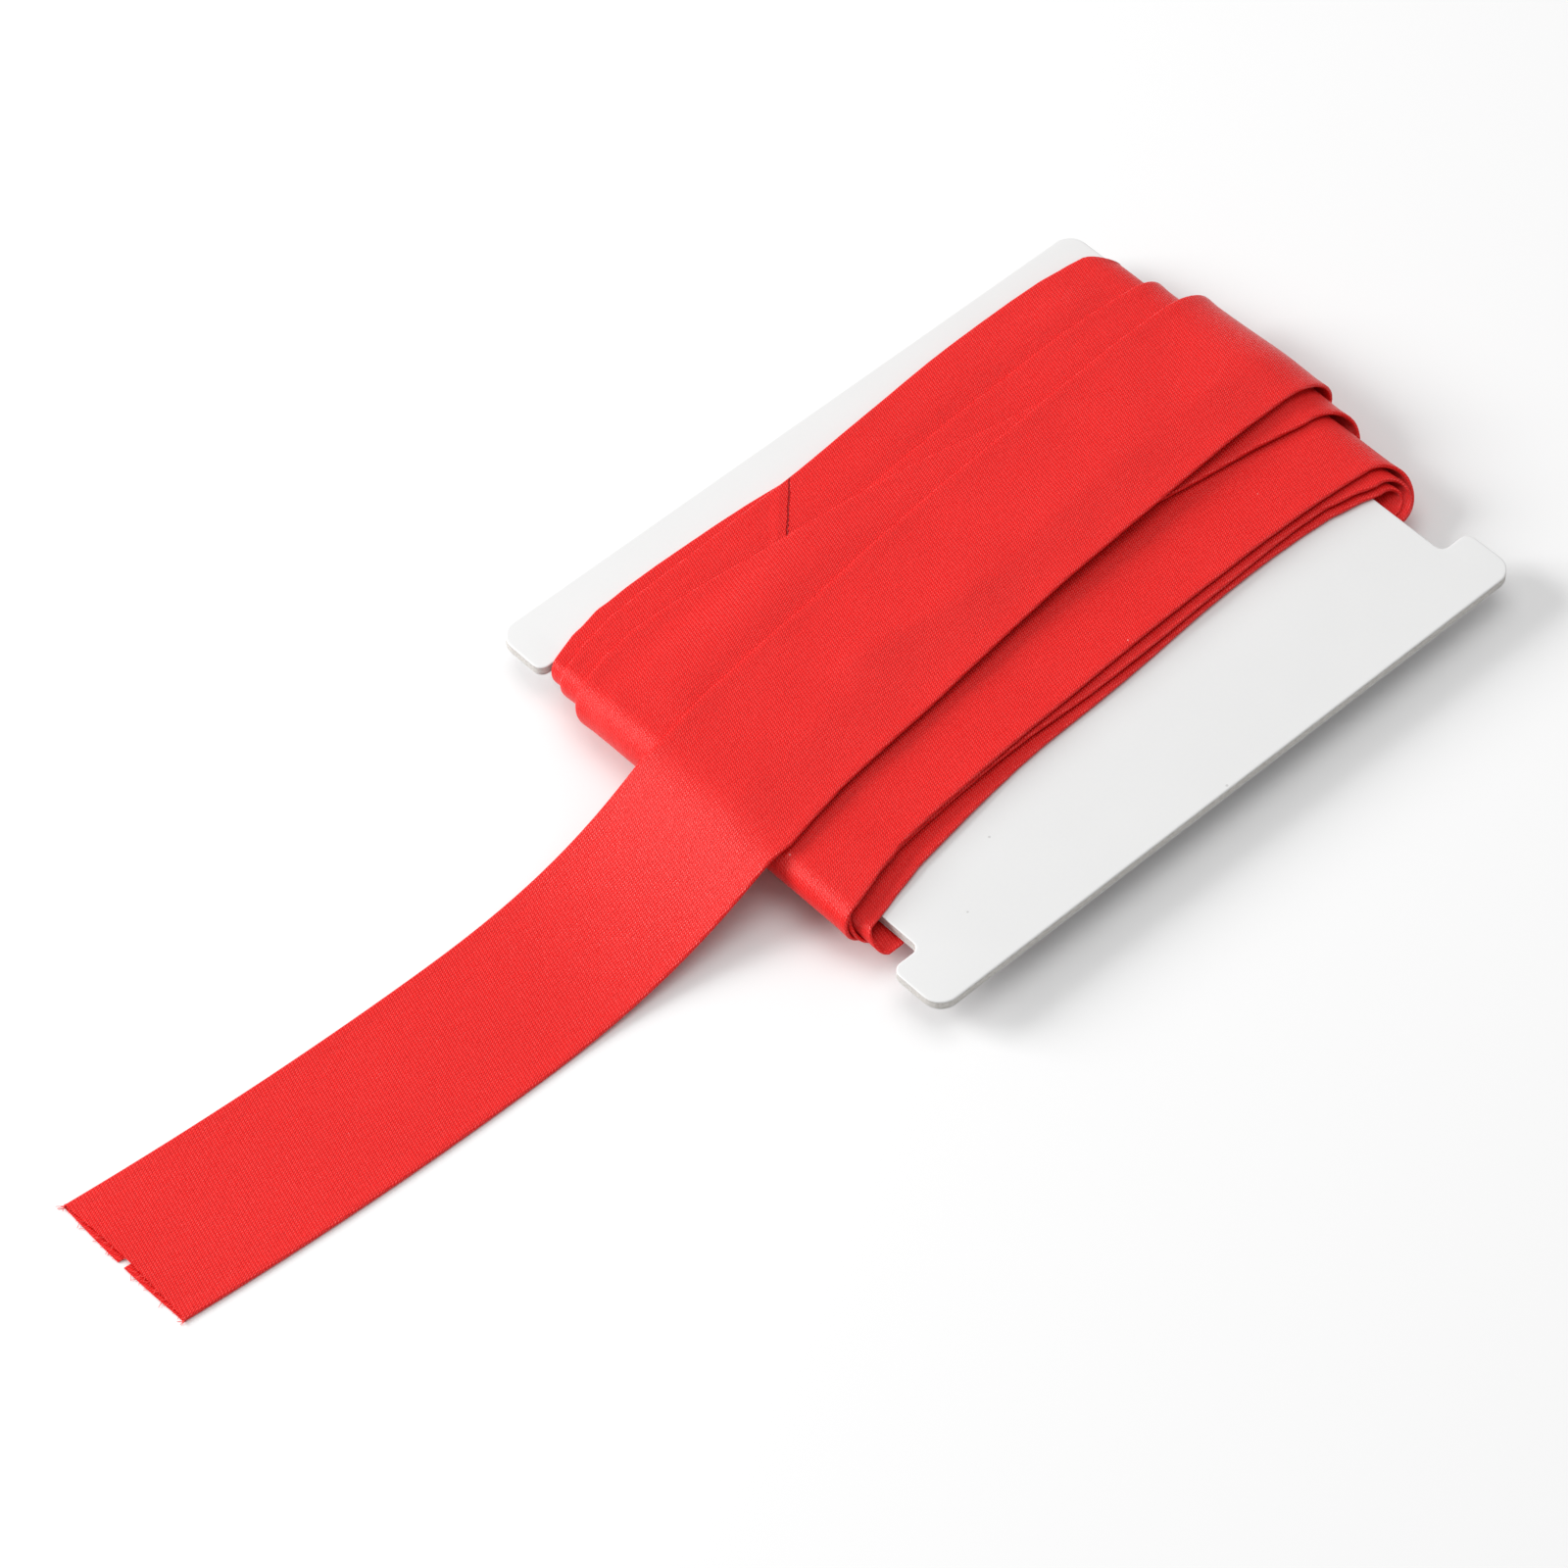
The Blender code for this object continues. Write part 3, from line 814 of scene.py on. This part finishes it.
tip = root + lean_out * length[:, None]
root = root - lean_out * yarn_root
root[:, 2], tip[:, 2] = np.maximum(root[:, 2], yarn_radius), np.maximum(tip[:, 2], yarn_radius)
points, faces = thread_rods(root, tip, yarn_radius, around=5)
yarns = put_mesh("cut_threads", points, faces, satin)
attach(yarns, "tail_end")


# ---- Floor ----
# A plain pale table top of matt board, level with the lowest pass of tape. It is part of the
# studio and not of the object.

floor_half, floor_colour = 3.0, (0.9, 0.9, 0.9, 1.0)
floor_finish, finish = start_finish("pale_floor")
matt = 0.9 + 0.05 * finish.noise(finish.place(), 20.0)
end_finish(finish, {"Base Color": floor_colour, "Roughness": matt, "Specular IOR Level": 0.1})
corners = np.array([(-1, -1, 0), (1, -1, 0), (1, 1, 0), (-1, 1, 0)]) * floor_half
floor = put_mesh("floor", corners, [[0, 1, 2, 3]], floor_finish)
floor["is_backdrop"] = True


# ---- Light ----
# A white room with two broad soft lights: a low window to the left, which gives the satin its
# sheen, and a wide ceiling light.


def soft_light(name, place, aim, size, power):
    """A square area light at one point, facing another."""
    lamp = bpy.data.lights.new(name, "AREA")
    lamp.shape, lamp.size, lamp.energy = "SQUARE", size, power
    lamp_object = bpy.data.objects.new(name, lamp)
    lamp_object.location = place
    lamp_object.rotation_euler = (Vector(aim) - Vector(place)).to_track_quat("-Z", "Y").to_euler()
    bpy.context.scene.collection.objects.link(lamp_object)


world = bpy.data.worlds.new("white_room")
world.use_nodes = True
world.node_tree.nodes["Background"].inputs["Color"].default_value = (1.0, 1.0, 1.0, 1.0)
world.node_tree.nodes["Background"].inputs["Strength"].default_value = 0.40
bpy.context.scene.world = world
bpy.context.scene.view_settings.view_transform = "Standard"
soft_light("window", (-0.56, 0.66, 0.44), (0.0, 0.0, 0.0), 0.45, 9.2)
soft_light("ceiling", (0.14, 0.10, 0.95), (0.04, 0.0, 0.0), 0.9, 3.9)


# ---- Camera ----
# A long lens looks down on the card from the tail's side. It is aimed at a point on the winding
# beside the near end of the card.

aim = card_middle + (-0.03658, -0.00195, 0.0007)
turn, rise, distance = math.radians(-133.08), math.radians(51.66), 0.6877
back = np.array((math.cos(rise) * math.cos(turn), math.cos(rise) * math.sin(turn), math.sin(rise)))
lens = bpy.data.cameras.new("camera")
lens.lens, lens.sensor_width, lens.clip_start = 142.8, 36.0, 0.01
camera = bpy.data.objects.new("camera", lens)
camera.location = aim + back * distance
camera.rotation_euler = Vector(-back).to_track_quat("-Z", "Y").to_euler()
bpy.context.scene.collection.objects.link(camera)
bpy.context.scene.camera = camera

low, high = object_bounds()
